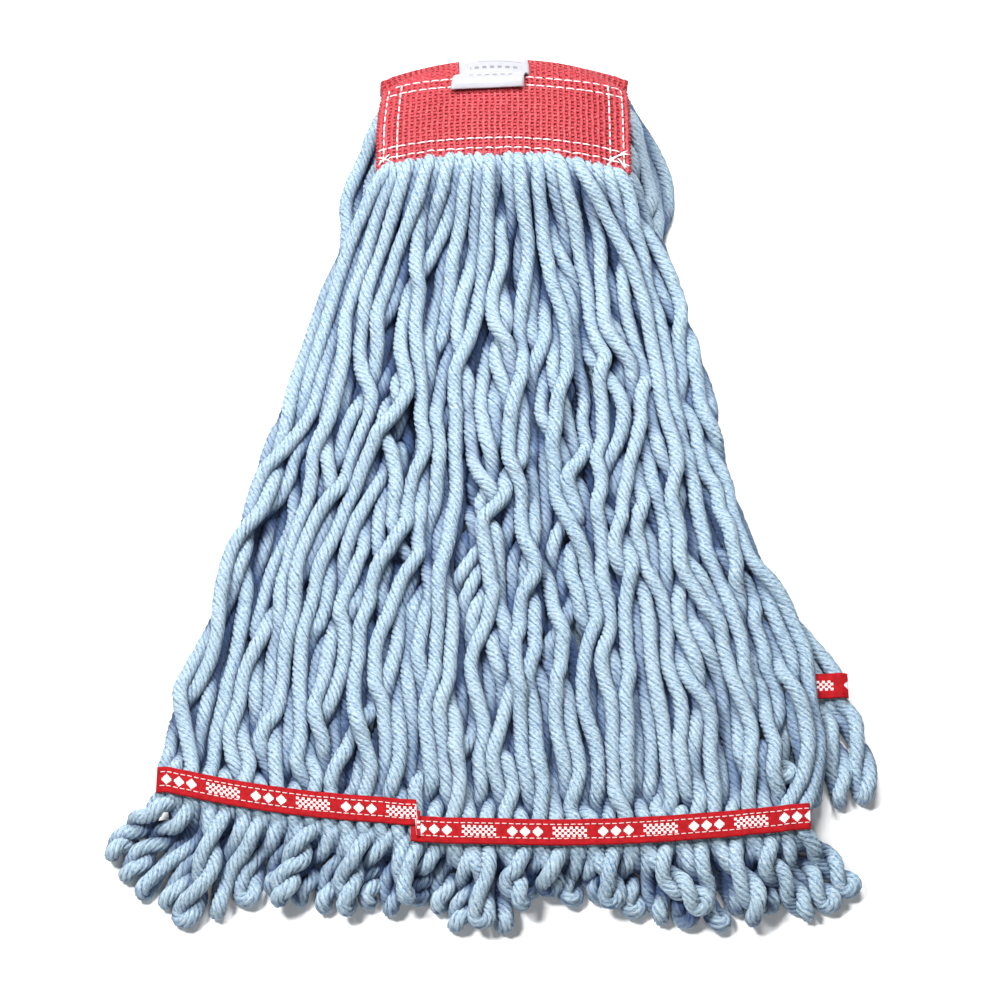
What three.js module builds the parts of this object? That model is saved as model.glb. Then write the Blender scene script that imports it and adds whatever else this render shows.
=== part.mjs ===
// String mop head with looped ends, as it lies when it is set down: the mesh
// headband is bent over a right angle, the front curtain of yarn lies on top
// of the back curtain, and both run forward to their tail tapes and fringes.
// Millimetres, +Z up, +Y towards the headband. The origin is below the middle
// of the whole head, on the surface that it lies on.

import * as THREE from 'three';

// ---- Headband -------------------------------------------------------------
const BAND_WIDTH = 138;
const BAND_CENTRE_X = 7;
const BAND_LEFT = BAND_CENTRE_X - BAND_WIDTH / 2;
const BAND_RIGHT = BAND_CENTRE_X + BAND_WIDTH / 2;
const MESH_THICKNESS = 1.2;
const CORE_THICKNESS = 10.5; // the yarns, pressed flat between the two meshes
const GAP = 0.3; // between pieces that touch
const BAND_TOP = 60; // height of the front panel's outer face
const BAND_BACK = 255; // how far back the back panel's outer face is
const FRONT_HEM_Y = 172;
const BACK_HEM_Z = 13;
const FOLD_Y = 229.5; // where the front half starts to bend over
const FOLD_Z = 36; // where the bend has become the upright back half
const FOLD_CLEARANCE = 0.5;
const HEM_CORNER_RADIUS = 5;
const ARC_POINTS = 10; // along the bend, in each layer

// ---- Sewing thread --------------------------------------------------------
const THREAD_WIDTH = 0.8;
const THREAD_HEIGHT = 0.5;
const SEAM_INSETS = [4, 11]; // of the double rows, from the edge they follow
const TOP_SEAM_YS = [219, 226];

// ---- Care label -----------------------------------------------------------
const LABEL_LEFT = -18;
const LABEL_RIGHT = 21;
const LABEL_THICKNESS = 0.9;
const LABEL_SEWN_Y = 231;
const LABEL_FLAP_LENGTH = 13;

// ---- Curtains of yarn -----------------------------------------------------
const BUNDLES = 6; // groups of yarn loops in each curtain
const BUNDLE_GAP = 0.004; // share of the curtain's width left between groups
const ROOT_RADIUS = 5.2; // of a curtain's round end at its hem
const ROOT_ARC_POINTS = 5;
const TAPE_WIDTH = 14;
const TAPE_THICKNESS = 1;
const TAPE_STEPS = 16;
const TAPE_SEAM_INSET = 2;

// Each curtain spreads from its hem to its tail tape. left and right are its
// edges at the hem and at the tape, tapeY is the tape's far edge at the left
// end and at the right end, and dip is how far the tape sags forward between.
// The tips of the fringe lie fringe millimetres beyond the tape, and are
// spread as wide as the curtain would be at fringe.spread of the way.
const FRONT = {
  hinge: { y: 160, z: 53 },
  hem: { left: BAND_LEFT, right: BAND_RIGHT },
  tape: { left: -167, right: 159, leftY: -169, rightY: -190, dip: 18 },
  spread: 0.62,
  fringe: { left: 58, middle: 41, right: 47, spread: 1.36 },
  // height of the top and the underside, by share of the way to the tape
  top: [[0.07, 55], [0.19, 37], [0.47, 27], [0.95, 22], [1, 22]],
  underside: [[1, 12.3], [0.95, 12.3], [0.83, 14.2], [0.47, 14.6], [0.19, 20], [0.06, 41]],
  fringeTop: [[0, 22], [0.5, 14], [1, 9]],
  fringeUnderside: [[1, 0], [0.25, 0.6], [0, 12.3]],
  outerTapeZ: 22.3,
  innerTapeZ: 11,
};
const BACK = {
  hinge: { y: 249, z: 5.9 },
  hem: { left: BAND_LEFT, right: BAND_RIGHT },
  tape: { left: -150, right: 183, leftY: -104, rightY: -112, dip: 8 },
  spread: 0.75,
  fringe: { left: 55, middle: 52, right: 58, spread: 1.07 },
  top: [[0.03, 11.1], [0.07, 21], [0.22, 23], [0.4, 18], [0.68, 13], [0.95, 10.7], [1, 10.7]],
  underside: [[1, 1.3], [0.95, 1.3], [0.94, 0], [0.03, 0]],
  fringeTop: [[0, 10.7], [0.5, 9], [1, 7.5]],
  fringeUnderside: [[1, 0], [0.1, 0], [0, 1.3]],
  outerTapeZ: 0,
  innerTapeZ: 11,
};

const material = (color, roughness) =>
  new THREE.MeshStandardMaterial({ color, roughness, metalness: 0 });

const meshRed = () => material(0xe3505a, 0.6);
const tapeRed = () => material(0xc41a2e, 0.8);
const yarnBlue = () => material(0x9bbfdc, 0.95);
const threadWhite = () => material(0xf3eef0, 0.7);
const labelWhite = () => material(0xf4f2f6, 0.5);

const part = new THREE.Group();

function add(parent, name, geometry, finish) {
  const mesh = new THREE.Mesh(geometry, finish);
  mesh.name = name;
  parent.add(mesh);
}

// A closed outline in the YZ plane, drawn out along X from low to high.
function alongX(outline, low, high, steps = 1) {
  const shape = new THREE.Shape(outline.map(([y, z]) => new THREE.Vector2(y, z)));
  const geometry = new THREE.ExtrudeGeometry(shape, {
    depth: high - low,
    steps,
    bevelEnabled: false,
  });
  const turn = new THREE.Matrix4().makeBasis(
    new THREE.Vector3(0, 1, 0),
    new THREE.Vector3(0, 0, 1),
    new THREE.Vector3(1, 0, 0),
  );
  return geometry.applyMatrix4(turn).translate(low, 0, 0);
}

function block(x, y, z) {
  const box = new THREE.BoxGeometry(x[1] - x[0], y[1] - y[0], z[1] - z[0]);
  return box.translate((x[0] + x[1]) / 2, (y[0] + y[1]) / 2, (z[0] + z[1]) / 2);
}

// ---- Headband halves ------------------------------------------------------

// How deep each layer lies below the outer face: the outer mesh, the pressed
// yarns and the inner mesh.
const CORE_DEPTH = MESH_THICKNESS + GAP;
const LINING_DEPTH = CORE_DEPTH + CORE_THICKNESS + GAP;
const LAYERS = {
  panel: [0, MESH_THICKNESS],
  core: [CORE_DEPTH, CORE_DEPTH + CORE_THICKNESS],
  lining: [LINING_DEPTH, LINING_DEPTH + MESH_THICKNESS],
};

// A flat layer with rounded corners at the hem, drawn with the hem at y = 0.
function roundedLayer(width, length, thickness) {
  const r = HEM_CORNER_RADIUS;
  const shape = new THREE.Shape();
  shape.moveTo(r, 0);
  shape.lineTo(width - r, 0);
  shape.absarc(width - r, r, r, -Math.PI / 2, 0);
  shape.lineTo(width, length);
  shape.lineTo(0, length);
  shape.lineTo(0, r);
  shape.absarc(r, r, r, Math.PI, 1.5 * Math.PI);
  return new THREE.ExtrudeGeometry(shape, {
    depth: thickness,
    bevelEnabled: false,
    curveSegments: 4,
  });
}

function frontHalf() {
  const half = new THREE.Group();
  const length = FOLD_Y - FOLD_CLEARANCE - FRONT_HEM_Y;
  for (const [layer, [near, far]] of Object.entries(LAYERS)) {
    const geometry = roundedLayer(BAND_WIDTH, length, far - near);
    geometry.translate(BAND_LEFT, FRONT_HEM_Y, BAND_TOP - far);
    add(half, `headband_front_${layer}`, geometry, layer === 'core' ? yarnBlue() : meshRed());
  }
  return half;
}

function backHalf() {
  const half = new THREE.Group();
  const length = FOLD_Z - FOLD_CLEARANCE - BACK_HEM_Z;
  for (const [layer, [near, far]] of Object.entries(LAYERS)) {
    const geometry = roundedLayer(BAND_WIDTH, length, far - near);
    geometry.rotateX(Math.PI / 2);
    geometry.translate(BAND_LEFT, BAND_BACK - near, BACK_HEM_Z);
    add(half, `headband_back_${layer}`, geometry, layer === 'core' ? yarnBlue() : meshRed());
  }
  return half;
}

// Points on the bend's quarter ellipse, depth millimetres below its outer
// face, from the upright half at 0 to the level half at a right angle.
function bendArc(depth, from = 0, to = Math.PI / 2) {
  const points = [];
  for (let i = 0; i <= ARC_POINTS; i += 1) {
    const angle = from + ((to - from) * i) / ARC_POINTS;
    const y = FOLD_Y + (BAND_BACK - FOLD_Y - depth) * Math.cos(angle);
    const z = FOLD_Z + (BAND_TOP - FOLD_Z - depth) * Math.sin(angle);
    points.push([y, z]);
  }
  return points;
}

function fold() {
  const bend = new THREE.Group();
  for (const [layer, [near, far]] of Object.entries(LAYERS)) {
    const outline = [...bendArc(near), ...bendArc(far).reverse()];
    const geometry = alongX(outline, BAND_LEFT, BAND_RIGHT);
    add(bend, `headband_fold_${layer}`, geometry, layer === 'core' ? yarnBlue() : meshRed());
  }
  return bend;
}

// ---- Seams on the front panel ---------------------------------------------

function seams() {
  const rows = new THREE.Group();
  const z = [BAND_TOP + GAP, BAND_TOP + GAP + THREAD_HEIGHT];
  const across = (at) => [at - THREAD_WIDTH / 2, at + THREAD_WIDTH / 2];
  const names = ['outer', 'inner'];
  const endInset = SEAM_INSETS[0];
  for (const [i, inset] of SEAM_INSETS.entries()) {
    const ends = [BAND_LEFT + endInset, BAND_RIGHT - endInset];
    const hem = block(ends, across(FRONT_HEM_Y + inset), z);
    add(rows, `seam_hem_${names[i]}`, hem, threadWhite());
    const top = block(ends, across(TOP_SEAM_YS[i]), z);
    add(rows, `seam_top_${i === 0 ? 'inner' : 'outer'}`, top, threadWhite());
    const sideY = [FRONT_HEM_Y + SEAM_INSETS[1] + 1, TOP_SEAM_YS[0] - 1];
    const left = block(across(BAND_LEFT + inset), sideY, z);
    add(rows, `seam_left_${names[i]}`, left, threadWhite());
    const right = block(across(BAND_RIGHT - inset), sideY, z);
    add(rows, `seam_right_${names[i]}`, right, threadWhite());
  }
  return rows;
}

// ---- Care label -----------------------------------------------------------

// The label is sewn down along its crease. One leaf lies back over the bend,
// and the other is the free flap, which lies forward on the panel.
function labelBase() {
  const sewn = Math.acos((LABEL_SEWN_Y + GAP - FOLD_Y) / (BAND_BACK - FOLD_Y));
  const low = bendArc(-GAP, Math.PI / 5, sewn);
  const high = bendArc(-GAP - LABEL_THICKNESS, Math.PI / 5, sewn);
  return alongX([...high, ...low.reverse()], LABEL_LEFT, LABEL_RIGHT);
}

function labelFlap() {
  const low = BAND_TOP + GAP + THREAD_HEIGHT + GAP;
  return block(
    [LABEL_LEFT, LABEL_RIGHT],
    [LABEL_SEWN_Y - LABEL_FLAP_LENGTH, LABEL_SEWN_Y - GAP],
    [low, low + LABEL_THICKNESS],
  );
}

// ---- Curtains -------------------------------------------------------------

// The plan of a curtain: across runs from 0 at the left edge to 1 at the
// right, and along from 0 at the hem's hinge to 1 at the tape's far edge.
function tapeY(curtain, across) {
  const { leftY, rightY, dip } = curtain.tape;
  return leftY + (rightY - leftY) * across - dip * Math.sin(Math.PI * across);
}

function planX(curtain, across, along) {
  const share = Math.max(along, 0) ** curtain.spread;
  const left = curtain.hem.left + (curtain.tape.left - curtain.hem.left) * share;
  const right = curtain.hem.right + (curtain.tape.right - curtain.hem.right) * share;
  return left + (right - left) * across;
}

function planPoint(curtain, across, along) {
  const end = tapeY(curtain, across) - TAPE_WIDTH;
  const y = curtain.hinge.y + (end - curtain.hinge.y) * along;
  return [planX(curtain, across, along), y];
}

function fringeLength(curtain, across) {
  const { left, middle, right } = curtain.fringe;
  const side = across < 0.5 ? left : right;
  return middle + (side - middle) * Math.abs(2 * across - 1);
}

// A closed outline of [along, height] points, drawn out across a curtain's
// plan. place gives x and y for a share across and a place along.
function acrossCurtain(outline, place, from, to, steps) {
  const geometry = alongX(outline, from, to, steps);
  const points = geometry.getAttribute('position');
  for (let i = 0; i < points.count; i += 1) {
    const [x, y] = place(points.getX(i), points.getY(i));
    points.setX(i, x);
    points.setY(i, y);
  }
  // along runs towards -Y, so the faces are turned over to face out
  for (let i = 0; i < points.count; i += 3) {
    const second = new THREE.Vector3().fromBufferAttribute(points, i + 1);
    const third = new THREE.Vector3().fromBufferAttribute(points, i + 2);
    points.setXYZ(i + 1, third.x, third.y, third.z);
    points.setXYZ(i + 2, second.x, second.y, second.z);
  }
  geometry.computeVertexNormals();
  return geometry;
}

// The round end at the hem, around the hinge's axis, from underneath to top.
function rootArc(curtain) {
  const reach = curtain.hinge.y - (tapeY(curtain, 0.5) - TAPE_WIDTH);
  const points = [];
  for (let i = 0; i <= ROOT_ARC_POINTS; i += 1) {
    const angle = -Math.PI / 2 + (Math.PI * i) / ROOT_ARC_POINTS;
    const along = (-ROOT_RADIUS * Math.cos(angle)) / reach;
    points.push([along, curtain.hinge.z + ROOT_RADIUS * Math.sin(angle)]);
  }
  return points;
}

// A strip that follows the tail tape, inset from the tape's far edge.
function tapeStrip(curtain, inset, width, bottom, thickness) {
  const outline = [[0, bottom], [1, bottom], [1, bottom + thickness], [0, bottom + thickness]];
  const place = (across, along) => [
    planX(curtain, across, 1),
    tapeY(curtain, across) - inset - width * along,
  ];
  return acrossCurtain(outline, place, 0, 1, TAPE_STEPS);
}

function tapes(name, curtain, seamZ) {
  const group = new THREE.Group();
  const strip = (z) => tapeStrip(curtain, 0, TAPE_WIDTH, z, TAPE_THICKNESS);
  add(group, `${name}_tape_outer`, strip(curtain.outerTapeZ), tapeRed());
  add(group, `${name}_tape_inner`, strip(curtain.innerTapeZ), tapeRed());
  const insets = {
    far: TAPE_SEAM_INSET,
    near: TAPE_WIDTH - TAPE_SEAM_INSET - THREAD_WIDTH,
  };
  for (const [edge, inset] of Object.entries(insets)) {
    const seam = tapeStrip(curtain, inset, THREAD_WIDTH, seamZ, THREAD_HEIGHT);
    add(group, `${name}_tape_seam_${edge}`, seam, threadWhite());
  }
  return group;
}

function curtain(name, plan, seamZ) {
  const group = new THREE.Group();
  const yarnOutline = [...rootArc(plan), ...plan.top, ...plan.underside];
  const fringeOutline = [...plan.fringeTop, ...plan.fringeUnderside];
  const yarnPlace = (across, along) => planPoint(plan, across, along);
  const fringePlace = (across, along) => [
    planX(plan, across, 1 + (plan.fringe.spread - 1) * along),
    tapeY(plan, across) - TAPE_WIDTH - FOLD_CLEARANCE - fringeLength(plan, across) * along,
  ];
  for (let i = 0; i < BUNDLES; i += 1) {
    const from = i / BUNDLES + BUNDLE_GAP / 2;
    const to = (i + 1) / BUNDLES - BUNDLE_GAP / 2;
    const yarns = acrossCurtain(yarnOutline, yarnPlace, from, to, 2);
    add(group, `${name}_yarns_${i + 1}`, yarns, yarnBlue());
    const loops = acrossCurtain(fringeOutline, fringePlace, from, to, 2);
    add(group, `${name}_loops_${i + 1}`, loops, yarnBlue());
  }
  group.add(tapes(name, plan, seamZ));
  return group;
}

part.add(frontHalf(), backHalf(), fold(), seams());
add(part, 'care_label_base', labelBase(), labelWhite());
add(part, 'care_label_flap', labelFlap(), labelWhite());
part.add(curtain('front', FRONT, FRONT.outerTapeZ + TAPE_THICKNESS + GAP));
part.add(curtain('back', BACK, BACK.innerTapeZ + TAPE_THICKNESS + GAP));

export default part;
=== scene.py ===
"""A looped-end string mop head, lying folded on a pale floor.

Lengths are in millimetres up to the point where a mesh is made, in metres.
"""

import math

import bpy
import numpy as np
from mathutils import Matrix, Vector


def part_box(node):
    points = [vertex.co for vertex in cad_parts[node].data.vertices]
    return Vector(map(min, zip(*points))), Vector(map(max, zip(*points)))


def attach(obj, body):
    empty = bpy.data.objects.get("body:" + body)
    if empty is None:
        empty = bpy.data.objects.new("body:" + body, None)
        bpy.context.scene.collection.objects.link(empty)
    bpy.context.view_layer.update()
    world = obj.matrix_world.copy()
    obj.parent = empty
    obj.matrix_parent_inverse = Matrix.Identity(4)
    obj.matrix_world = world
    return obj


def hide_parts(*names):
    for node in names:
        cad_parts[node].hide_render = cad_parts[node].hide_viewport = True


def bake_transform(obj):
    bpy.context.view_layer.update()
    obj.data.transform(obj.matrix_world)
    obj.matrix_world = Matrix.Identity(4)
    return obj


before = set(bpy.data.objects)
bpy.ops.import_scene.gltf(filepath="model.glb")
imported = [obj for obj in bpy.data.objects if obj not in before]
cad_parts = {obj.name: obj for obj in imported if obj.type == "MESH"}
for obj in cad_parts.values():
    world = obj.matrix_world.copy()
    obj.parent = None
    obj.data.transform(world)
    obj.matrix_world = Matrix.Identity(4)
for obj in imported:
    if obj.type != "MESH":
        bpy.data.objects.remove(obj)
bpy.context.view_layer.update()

MM = 0.001
SEED = 7

# ---- Camera ----------------------------------------------------------------

CAMERA_ELEVATION = math.radians(60)
CAMERA_DISTANCE = 1.9
CAMERA_TARGET = Vector((0.005, -0.0145, 0.02))
MM_PER_PIXEL = 0.52  # at the target, in a frame 1000 pixels wide
SENSOR_WIDTH = 36

# ---- The headband's place, from the CAD ------------------------------------

BAND_LEFT, BAND_FRONT_Y = (1000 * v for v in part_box("headband_front_panel")[0][:2])
BAND_RIGHT = 1000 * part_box("headband_front_panel")[1][0]
BAND_TOP = 1000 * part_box("headband_front_panel")[1][2]
BAND_BACK_Y = 1000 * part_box("headband_back_panel")[1][1]
BAND_BACK_Z = 1000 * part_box("headband_back_panel")[0][2]
FOLD_Y = 1000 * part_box("headband_fold_panel")[0][1]
FOLD_Z = 1000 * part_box("headband_fold_panel")[0][2]
FOLD_DEPTH = BAND_BACK_Y - FOLD_Y
FOLD_HEIGHT = BAND_TOP - FOLD_Z
BAND_MIDDLE = (BAND_LEFT + BAND_RIGHT) / 2
BAND_HALF = (BAND_RIGHT - BAND_LEFT) / 2

# ---- Yarn, in millimetres --------------------------------------------------

YARN_DIAMETER = 7.8
YARN_PITCH = 24.0  # length of one turn of the plies
STRAND_STEP = 1.7  # between the rings of a yarn's mesh
PLIES = 7
PLY_DEPTHS = (1.0, 0.55, 0.85, 0.6, 1.0, 0.5, 0.8)  # how deep the groove before each ply is
# Across one ply, the shares of its width and of the yarn's radius
PLY_SHAPE = ((0.0, 0.80), (0.30, 0.98), (0.70, 1.0))
SLUB_SPACING = 15  # between the thick and thin places
UV_LENGTH = 20  # of yarn, to one unit of its texture space
FLOOR_GAP = 0.05

PILE_CELL = 2.0
PILE_REACH = 3  # cells to each side that count towards the surface of the pile
PILE_SHADE_DEPTH = 6.0  # at which a yarn lies wholly buried and takes the full painted shade

# ---- The curtains ----------------------------------------------------------

TAPE_WIDTH = 14.0
TAPE_THICKNESS = 0.9

# The curtains' plans, as the CAD has them. The tape's far edge runs from
# left_y to right_y and sags forward by dip between. spread says how far the
# yarns have fanned out by each share of the way to the tape, and heights how
# high they first lie. legs_z are the two heights that the yarns alternate
# between under the tape. fringe says how far the loops stand out beyond the
# tape, by share of its width. bend is where the yarns go over from the one
# body to the other, in metres. kink is the x at which the tape's left stretch
# ends on top of the right one.
FRONT = {
    "name": "front",
    "loops": 37,
    "tape": {"left": -165.0, "right": 157.0, "left_y": -169.0, "right_y": -190.0, "dip": 18.0},
    "spread": [
        (0.0, 0.0), (0.088, 0.22), (0.16, 0.29), (0.31, 0.44), (0.56, 0.69), (0.8, 0.88), (1.0, 1.0),
    ],
    "heights": [(0.0, 53), (0.07, 49), (0.19, 32), (0.47, 27), (0.8, 27), (1.0, 17)],
    "legs_z": (14.2, 19.4),
    "fringe_spread": 1.46,
    "fringe_lift": 9.0,
    "fringe": [
        (0.0, 42), (0.08, 58), (0.13, 58), (0.18, 34), (0.33, 31), (0.4, 24), (0.46, 38),
        (0.53, 32), (0.6, 17), (0.67, 17), (0.74, 32), (0.9, 38), (1.0, 38),
    ],
    "bodies": ("front_half", "front_curtain"),
    "bend": ((0, 0.176, 0.053), (0, 0.142, 0.044)),
    "kink": -36.0,
}
BACK = {
    "name": "back",
    "loops": 26,
    "tape": {"left": -92.0, "right": 180.0, "left_y": -104.0, "right_y": -112.0, "dip": 8.0},
    "spread": [
        (0.0, 0.0), (0.26, 0.16), (0.42, 0.3), (0.56, 0.42), (0.7, 0.5), (0.84, 0.63), (0.94, 0.82),
        (1.0, 1.0),
    ],
    "heights": [(0.0, 6), (0.07, 11), (0.22, 12), (0.4, 10), (0.68, 8), (1.0, 6.2)],
    "legs_z": (4.9, 8.9),
    "fringe_spread": 1.07,
    "fringe_lift": 1.0,
    "fringe": [(0.0, 50), (0.3, 46), (0.6, 44), (0.85, 50), (1.0, 54)],
    "bodies": ("back_half", "back_curtain"),
    "bend": ((0, 0.251, 0.013), (0, 0.236, 0.005)),
    "kink": 60.0,
}
CAD_GROUPS = range(1, 7)  # the CAD's groups of yarns in each curtain

# How far the yarn spreads to either side: (y, x), from the tapes to the headband
LEFT_EDGE = (
    (-240, -186), (-215, -193), (-190, -180), (-159, -165), (-131, -164), (-97, -153), (-62, -141),
    (-20, -133), (22, -121), (65, -106), (116, -92), (142, -87), (181, -84), (239, -62), (256, -58),
)
RIGHT_EDGE = (
    (-250, 190), (-171, 191), (-154, 191), (-126, 183), (-106, 180), (-82, 158), (-47, 139),
    (0, 125), (50, 119), (100, 107), (158, 94), (178, 101), (198, 102), (254, 80), (256, 78),
)
EDGE_MARGIN = 3.7

# Where a yarn is held inside the headband: how far along from the hem, and
# how deep under the face in each of three layers
FRONT_PINS = (15.0, 9.0, 3.0, -3.5)
FRONT_DEPTHS = (8.6, 7.0, 5.4)
FRONT_EXIT_DEPTHS = (8.4, 5.4, 2.6)
BACK_PINS = (14.0, 8.0, 2.0)
BACK_DEPTHS = (5.4, 7.0, 8.6)

HEM_SHUFFLE = 8  # places by which a yarn's order at the hem may differ from the tape's
NODE_STEP = 5.5  # between the points that the yarn's fall is worked out at
CHAIN_NODES = 11  # in each looped end
LEG_RADIUS = 0.49 * YARN_DIAMETER
LOOP_RADIUS = 0.80 * YARN_DIAMETER  # of the twisted pair as a whole
WAVES = (((0.6, 1.4), 13.0), ((1.8, 3.2), 12.0), ((4, 7), 9.0))  # turns along a leg, and reach

SETTLE_STEPS = 260
QUIET_STEPS = 80  # the last ones, with little gravity
NEIGHBOUR_EVERY = 8
FALL = 0.12  # how far a free point drops before each round of constraints
BEND = 0.05
REACH = 2.4  # extra distance at which neighbours are listed

# ---- The headband's cloth --------------------------------------------------

CROWN = 9.0  # how far the band's sides hang below its middle
BEND_TOP = 74  # along the band, where it goes over
NET_COLUMN_PITCH = 3.1
NET_ROW_PITCH = 2.5
NET_COLUMN = (2.1, 0.8)  # width and thickness of a thread along the band
NET_ROW = (1.6, 0.6)
BACKING_DEPTH = 1.1
LINING_DEPTH = 12.9
CORE_COLUMNS = 23
CORE_DEPTHS = (5.0, 9.2)
CORE_DIAMETER = 5.2

STITCH = 4.3
STITCH_GAP = 0.9
STITCH_THICKNESS = 0.85
HEM_INSETS = (4.0, 11.0)
SIDE_INSETS = (4.2, 11.5)
TOP_ROWS = (50.3, 56.8)  # along the band: the inner row and the outer row
SIDE_ROW_END = 57.5

LABEL_LEFT, LABEL_RIGHT = -24.6, 14.0  # from the band's middle
LABEL_CREASE = 59.5  # along the band
LABEL_FAR = 76.5
LABEL_FLAP = 14.0
LABEL_THICKNESS = 0.35

# ---- Tapes -----------------------------------------------------------------

WEAVE = 0.7  # one cell of the tape's weave
TAPE_MOTIFS = 64  # cells from one group of motifs to the next
TAPE_STIFFNESS = 3  # cells over which the tape bridges the hollows between yarns
DASH_PITCH = 3.4
DASH = 2.3
DASH_INSETS = {"far": 3.0, "near": TAPE_WIDTH - 3.4}
RAISED_END = 1.3  # how high the left stretch's end lies over the right one
RAISED_LENGTH = 9

# ---- Colours, as a screen shows them ---------------------------------------

YARN_PALE = (194, 213, 222)
YARN_MID = (112, 151, 181)
# painted shade for the yarn, in its grooves and deep in the pile
YARN_SHADE = (12, 50, 108)
YARN_FLECK = (214, 212, 214)
YARN_BRIGHT = (60, 118, 205)
YARN_BLUE = (62, 104, 158)
NET_DARK = (148, 31, 40)
NET_MID = (163, 43, 52)
NET_PALE = (188, 82, 90)
BACKING_COLORS = ((232, 94, 103), (216, 80, 90))
THREAD_COLORS = ((200, 195, 195), (235, 232, 230))
LABEL_COLORS = ((150, 150, 158), (170, 170, 177))
LABEL_PRINT = (84, 84, 92)
TAPE_REDS = ((132, 3, 12), (164, 8, 20))
TAPE_WHITES = ((205, 194, 196), (230, 222, 222))
FLOOR_COLORS = ((247, 247, 247), (244, 244, 244))

# name, place in metres, size in metres and power in watts; each faces the origin
LAMPS = (
    ("key", (-0.75, -0.05, 1.45), 0.35, 32),
    ("front", (0.2, -1.3, 1.5), 0.6, 8),
    ("back", (0.1, 0.62, 0.95), 0.4, 17),
)


# ---- Camera ----------------------------------------------------------------


def make_camera():
    data = bpy.data.cameras.new("camera")
    camera = bpy.data.objects.new("camera", data)
    bpy.context.collection.objects.link(camera)
    back = Vector((0, -math.cos(CAMERA_ELEVATION), math.sin(CAMERA_ELEVATION)))
    camera.location = CAMERA_TARGET + CAMERA_DISTANCE * back
    camera.rotation_euler = (math.pi / 2 - CAMERA_ELEVATION, 0, 0)
    data.sensor_width = SENSOR_WIDTH
    data.lens = SENSOR_WIDTH * CAMERA_DISTANCE / MM_PER_PIXEL
    data.clip_end = 20
    bpy.context.scene.camera = camera


# ---- Laying out the yarn ---------------------------------------------------


def by_share(table, share):
    shares, values = zip(*table)
    return np.interp(share, shares, values)


def swell(value, centre, width):
    """1 at the centre, dying out to both sides."""
    return np.exp(-(((value - centre) / width) ** 2))


def tape_y(plan, across):
    tape = plan["tape"]
    level = tape["left_y"] + (tape["right_y"] - tape["left_y"]) * across
    return level - tape["dip"] * np.sin(np.pi * across)


def plan_x(plan, hem_x, tape_x, along):
    return hem_x + (tape_x - hem_x) * by_share(plan["spread"], along)


def hem_slots(legs, rng):
    """Where each leg leaves the headband: x in an order close to the tape's, and a layer."""
    order = np.argsort(np.arange(legs) + rng.uniform(-HEM_SHUFFLE, HEM_SHUFFLE, legs))
    rank = np.empty(legs)
    rank[order] = np.arange(legs)
    usable = 2 * BAND_HALF - YARN_DIAMETER
    x = BAND_MIDDLE - usable / 2 + usable * (rank + 0.5) / legs
    return x, (rank % 3).astype(int)


def front_guess(plan, x, layer, tape_x, end_y, leg_z, rng):
    """A front leg: out of the hem, over and down, and along to the tape."""
    depth = FRONT_DEPTHS[layer]
    out = FRONT_EXIT_DEPTHS[layer] + rng.uniform(-0.8, 0.6)
    u = x - BAND_MIDDLE
    inside = band_point(u, np.array(FRONT_PINS), np.array([depth, depth, depth, out]))
    count = int((BAND_FRONT_Y - end_y) * rng.uniform(1.06, 1.18) / NODE_STEP)
    along = np.linspace(0, 1, count)
    start_y = inside[-1, 1] - 3
    y = start_y + (end_y - start_y) * along
    lift = (layer - 1) * 7 * np.sin(np.pi * np.clip(along * 2, 0, 1) / 2)
    arch = rng.uniform(-6, 10) * np.sin(np.pi * along)
    z = by_share(plan["heights"], along) + lift * (1 - along) + arch
    z += (inside[-1, 2] - z[0]) * np.exp(-along * 14)
    free = np.stack([plan_x(plan, x, tape_x, along), y, z], 1)
    # the right edge bulges above the tape, and yarns at the lower left are kinked
    free[:, 0] += 24 * max(tape_x / 157, 0) ** 4 * swell(y, -112, 42)
    kinked = rng.uniform(-1, 1) * math.exp(-(((tape_x + 85) / 42) ** 2))
    free[:, 0] += 16 * kinked * swell(y, -125, 20)
    free[-1, 2] = leg_z
    return inside, free


def back_guess(plan, x, layer, tape_x, end_y, leg_z, rng):
    """A back leg: down out of the upright hem, round, and along the floor to the tape."""
    u = x - BAND_MIDDLE
    inside = band_point(u, BAND_LENGTH - np.array(BACK_PINS), BACK_DEPTHS[layer])
    radius = 3.5 + 3.5 * (2 - layer)
    centre_y, bottom = inside[-1, 1] - radius, 3.6 + 4.5 * layer
    turn = [
        [x, centre_y + radius * math.cos(a), bottom + radius * (1 - math.sin(a))]
        for a in (0.5, 1.0, 1.4)
    ]
    start_y = centre_y - 2
    count = int((start_y - end_y) * rng.uniform(1.04, 1.13) / NODE_STEP)
    along = np.linspace(0, 1, count)
    y = start_y + (end_y - start_y) * along
    z = by_share(plan["heights"], along) + (layer - 1) * 6 * (1 - along) * np.minimum(1, 8 * along)
    z = np.maximum(z, bottom * (1 - along))
    level = np.stack([plan_x(plan, x, tape_x, along), y, z], 1)
    # beside the headband the outer yarns bulge to both sides
    level[:, 0] += 22 * (u / BAND_HALF) ** 3 * swell(y, 178, 48)
    level[-1, 2] = leg_z
    return inside, np.concatenate([np.array(turn), level])


def sway(points, rng):
    """Draws the yarns together in bunches and adds sideways waves, all dying out at both ends."""
    share = np.linspace(0, 1, len(points))
    fade = np.sin(np.pi * share) ** 0.7
    points[:, 0] += fade * 4.2 * np.sin(points[:, 0] / 4.4 + 2.2 * np.sin(points[:, 1] / 48))
    wave = np.zeros(len(points))
    turns = [rng.uniform(*span) for span, _ in WAVES]
    for turn, (_, reach) in zip(turns, WAVES):
        wave += reach * rng.uniform(-1, 1) * np.sin(2 * np.pi * (turn * share + rng.uniform()))
    points[:, 0] += fade * wave
    return points


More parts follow.
